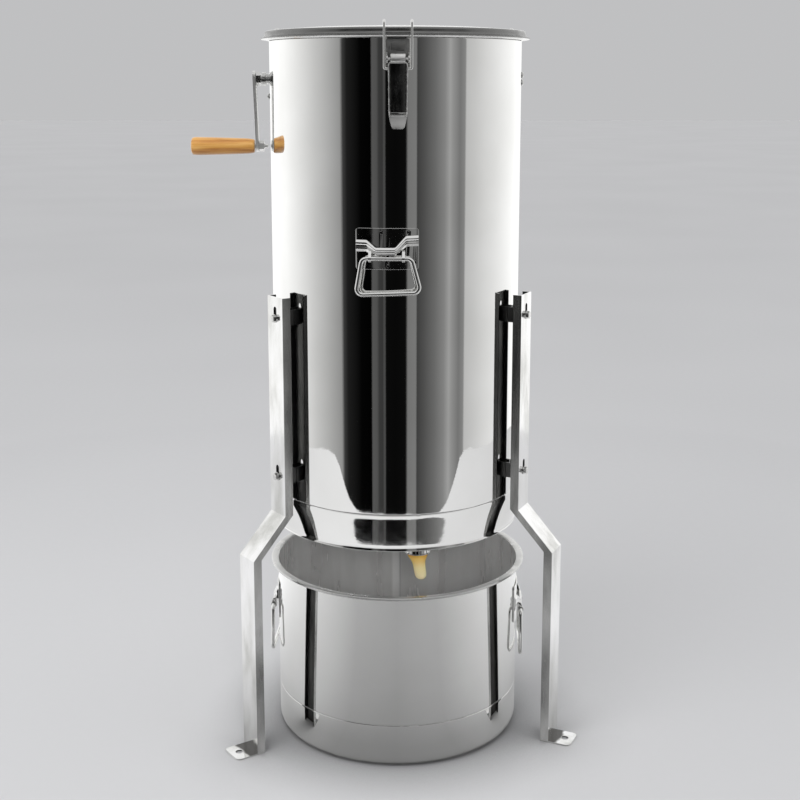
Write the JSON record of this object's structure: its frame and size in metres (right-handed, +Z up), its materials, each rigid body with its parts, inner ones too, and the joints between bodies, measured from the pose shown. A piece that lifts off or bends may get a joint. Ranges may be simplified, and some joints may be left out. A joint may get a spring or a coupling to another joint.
{
  "type": "honey extractor",
  "caption": "Manual radial honey extractor: lidded steel drum on splayed legs, side crank with bevel gears, caged frame basket, floor outlet and a receiving bucket.",
  "frame": {"origin": "on the floor, on the drum's vertical axis, which is a point of the bucket's underside", "axes": "+Z up along the drum's axis, -Y to the front with the lid latch and drop handle, -X to the crank"},
  "size_m": [0.6258, 0.5553, 1.1482],
  "materials": {
    "drum_wall": "mirror-polished stainless steel sheet",
    "drum_pan": "mirror-polished stainless steel sheet",
    "outlet_spout": "bright pressed stainless steel",
    "crossbar": "satin stainless steel",
    "wall_bearing": "bright pressed stainless steel",
    "shaft_pillow": "dark oiled iron",
    "top_bearing": "turned brass",
    "pivot_cup": "turned brass",
    "leg_front_left": "bright pressed stainless steel",
    "leg_front_right": "bright pressed stainless steel",
    "leg_rear": "bright pressed stainless steel",
    "leg_bracket_front_left_upper": "satin stainless steel",
    "leg_bracket_front_left_lower": "satin stainless steel",
    "leg_bracket_front_right_upper": "satin stainless steel",
    "leg_bracket_front_right_lower": "satin stainless steel",
    "leg_bracket_rear_upper": "satin stainless steel",
    "leg_bracket_rear_lower": "satin stainless steel",
    "leg_bolt_front_left_upper": "bright pressed stainless steel",
    "leg_bolt_front_left_lower": "bright pressed stainless steel",
    "leg_bolt_front_right_upper": "bright pressed stainless steel",
    "leg_bolt_front_right_lower": "bright pressed stainless steel",
    "leg_bolt_rear_upper": "bright pressed stainless steel",
    "leg_bolt_rear_lower": "bright pressed stainless steel",
    "latch_base_front": "bright pressed stainless steel",
    "latch_base_rear_right": "bright pressed stainless steel",
    "latch_base_rear_left": "bright pressed stainless steel",
    "drum_handle_bracket_front": "bright pressed stainless steel",
    "drum_handle_bracket_rear": "bright pressed stainless steel",
    "crossbar_bolt_left": "bright pressed stainless steel",
    "crossbar_bolt_right_upper": "bright pressed stainless steel",
    "crossbar_bolt_right_lower": "bright pressed stainless steel",
    "basket_shaft": "satin stainless steel",
    "pinion_gear": "dark oiled iron",
    "basket_top_spider": "satin stainless steel",
    "basket_bottom_spider": "satin stainless steel",
    "frame_cage_front": "satin stainless steel",
    "frame_cage_rear": "satin stainless steel",
    "crank_shaft": "satin stainless steel",
    "crank_arm": "bright pressed stainless steel",
    "drive_gear": "dark oiled iron",
    "crank_lock_nut": "bright pressed stainless steel",
    "grip_bolt": "bright pressed stainless steel",
    "grip_nut": "bright pressed stainless steel",
    "crank_grip": "turned and clear-lacquered light hardwood",
    "lid": "mirror-polished stainless steel sheet",
    "latch_lever_front": "bright pressed stainless steel",
    "latch_bail_front": "bright pressed stainless steel",
    "latch_lever_rear_right": "bright pressed stainless steel",
    "latch_bail_rear_right": "bright pressed stainless steel",
    "latch_lever_rear_left": "bright pressed stainless steel",
    "latch_bail_rear_left": "bright pressed stainless steel",
    "drum_handle_loop_front": "bright pressed stainless steel",
    "drum_handle_loop_rear": "bright pressed stainless steel",
    "bucket_body": "mirror-polished stainless steel sheet",
    "bucket_base": "mirror-polished stainless steel sheet",
    "bucket_handle_bracket_left": "bright pressed stainless steel",
    "bucket_handle_bracket_right": "bright pressed stainless steel",
    "bucket_handle_loop_left": "bright pressed stainless steel",
    "bucket_handle_loop_right": "bright pressed stainless steel"
  },
  "bodies": {
    "drum_and_stand": {"drum_wall": "drum_wall", "drum_pan": "drum_pan", "outlet_spout": "outlet_spout", "crossbar": "crossbar", "wall_bearing": "wall_bearing", "shaft_pillow": "shaft_pillow", "top_bearing": "top_bearing", "pivot_cup": "pivot_cup", "leg_front_left": "leg_front_left", "leg_front_right": "leg_front_right", "leg_rear": "leg_rear", "leg_bracket_front_left_upper": "leg_bracket_front_left_upper", "leg_bracket_front_left_lower": "leg_bracket_front_left_lower", "leg_bracket_front_right_upper": "leg_bracket_front_right_upper", "leg_bracket_front_right_lower": "leg_bracket_front_right_lower", "leg_bracket_rear_upper": "leg_bracket_rear_upper", "leg_bracket_rear_lower": "leg_bracket_rear_lower", "leg_bolt_front_left_upper": "leg_bolt_front_left_upper", "leg_bolt_front_left_lower": "leg_bolt_front_left_lower", "leg_bolt_front_right_upper": "leg_bolt_front_right_upper", "leg_bolt_front_right_lower": "leg_bolt_front_right_lower", "leg_bolt_rear_upper": "leg_bolt_rear_upper", "leg_bolt_rear_lower": "leg_bolt_rear_lower", "latch_base_front": "latch_base_front", "latch_base_rear_right": "latch_base_rear_right", "latch_base_rear_left": "latch_base_rear_left", "drum_handle_bracket_front": "drum_handle_bracket_front", "drum_handle_bracket_rear": "drum_handle_bracket_rear", "crossbar_bolt_left": "crossbar_bolt_left", "crossbar_bolt_right_upper": "crossbar_bolt_right_upper", "crossbar_bolt_right_lower": "crossbar_bolt_right_lower"},
    "basket": {"basket_shaft": "basket_shaft", "pinion_gear": "pinion_gear", "basket_top_spider": "basket_top_spider", "basket_bottom_spider": "basket_bottom_spider", "frame_cage_front": "frame_cage_front", "frame_cage_rear": "frame_cage_rear"},
    "crank": {"crank_shaft": "crank_shaft", "crank_arm": "crank_arm", "drive_gear": "drive_gear", "crank_lock_nut": "crank_lock_nut", "grip_bolt": "grip_bolt", "grip_nut": "grip_nut"},
    "grip": {"crank_grip": "crank_grip"},
    "lid_body": {"lid": "lid"},
    "lever_front": {"latch_lever_front": "latch_lever_front"},
    "bail_front": {"latch_bail_front": "latch_bail_front"},
    "lever_rear_right": {"latch_lever_rear_right": "latch_lever_rear_right"},
    "bail_rear_right": {"latch_bail_rear_right": "latch_bail_rear_right"},
    "lever_rear_left": {"latch_lever_rear_left": "latch_lever_rear_left"},
    "bail_rear_left": {"latch_bail_rear_left": "latch_bail_rear_left"},
    "drum_loop_front": {"drum_handle_loop_front": "drum_handle_loop_front"},
    "drum_loop_rear": {"drum_handle_loop_rear": "drum_handle_loop_rear"},
    "bucket": {"bucket_body": "bucket_body", "bucket_base": "bucket_base", "bucket_handle_bracket_left": "bucket_handle_bracket_left", "bucket_handle_bracket_right": "bucket_handle_bracket_right"},
    "bucket_loop_left": {"bucket_handle_loop_left": "bucket_handle_loop_left"},
    "bucket_loop_right": {"bucket_handle_loop_right": "bucket_handle_loop_right"}
  },
  "joints": [
    {"name": "basket_spin", "type": "hinge", "parent": "drum_and_stand", "child": "basket", "pos_m": [0, 0, 0.7], "axis": [0, 0, 1], "continuous": true},
    {"name": "crank_turn", "type": "hinge", "parent": "drum_and_stand", "child": "crank", "pos_m": [-0.1, 0, 1.065], "axis": [1, 0, 0], "continuous": true},
    {"name": "grip_spin", "type": "hinge", "parent": "crank", "child": "grip", "pos_m": [-0.277, 0, 0.959], "axis": [1, 0, 0], "continuous": true},
    {"name": "lid_lift", "type": "slide", "parent": "drum_and_stand", "child": "lid_body", "axis": [0, 0, 1], "range_m": [0, 0.1]},
    {"name": "lever_front_swing", "type": "hinge", "parent": "drum_and_stand", "child": "lever_front", "pos_m": [0.00439, -0.20945, 1.0925], "axis": [-0.9998, -0.0209, 0], "range_deg": [0, 75]},
    {"name": "bail_front_swing", "type": "hinge", "parent": "lever_front", "child": "bail_front", "pos_m": [0.0045, -0.21495, 1.0785], "axis": [0.9998, 0.0209, 0], "range_deg": [0, 155]},
    {"name": "lever_rear_right_swing", "type": "hinge", "parent": "drum_and_stand", "child": "lever_rear_right", "pos_m": [0.1792, 0.10853, 1.0925], "axis": [0.518, -0.8554, 0], "range_deg": [0, 75]},
    {"name": "bail_rear_right_swing", "type": "hinge", "parent": "lever_rear_right", "child": "bail_rear_right", "pos_m": [0.1839, 0.11138, 1.0785], "axis": [-0.518, 0.8554, 0], "range_deg": [0, 155]},
    {"name": "lever_rear_left_swing", "type": "hinge", "parent": "drum_and_stand", "child": "lever_rear_left", "pos_m": [-0.18359, 0.10093, 1.0925], "axis": [0.4818, 0.8763, 0], "range_deg": [0, 75]},
    {"name": "bail_rear_left_swing", "type": "hinge", "parent": "lever_rear_left", "child": "bail_rear_left", "pos_m": [-0.18841, 0.10358, 1.0785], "axis": [-0.4818, -0.8763, 0], "range_deg": [0, 155]},
    {"name": "drum_handle_front_swing", "type": "hinge", "parent": "drum_and_stand", "child": "drum_loop_front", "pos_m": [-0.01229, -0.20683, 0.8027], "axis": [-0.9982, 0.0593, 0], "range_deg": [0, 100]},
    {"name": "drum_handle_rear_swing", "type": "hinge", "parent": "drum_and_stand", "child": "drum_loop_rear", "pos_m": [0.01229, 0.20683, 0.8027], "axis": [0.9982, -0.0593, 0], "range_deg": [0, 100]},
    {"name": "bucket_slide", "type": "slide", "parent": "drum_and_stand", "child": "bucket", "axis": [0, -1, 0], "range_m": [0, 0.45]},
    {"name": "bucket_handle_left_swing", "type": "hinge", "parent": "bucket", "child": "bucket_loop_left", "pos_m": [-0.20292, -0.01321, 0.197], "axis": [0.0523, 0.9986, 0], "range_deg": [0, 100]},
    {"name": "bucket_handle_right_swing", "type": "hinge", "parent": "bucket", "child": "bucket_loop_right", "pos_m": [0.20892, -0.03479, 0.197], "axis": [-0.0523, -0.9986, 0], "range_deg": [0, 100]}
  ],
  "couplings": [
    {"joint": "crank_turn", "follows": "basket_spin", "ratio": -0.5},
    {"joint": "lever_front_swing", "follows": "lid_lift", "rad_per_m": 13.08},
    {"joint": "bail_front_swing", "follows": "lid_lift", "rad_per_m": 27.05},
    {"joint": "lever_rear_right_swing", "follows": "lid_lift", "rad_per_m": 13.08},
    {"joint": "bail_rear_right_swing", "follows": "lid_lift", "rad_per_m": 27.05},
    {"joint": "lever_rear_left_swing", "follows": "lid_lift", "rad_per_m": 13.08},
    {"joint": "bail_rear_left_swing", "follows": "lid_lift", "rad_per_m": 27.05}
  ]
}
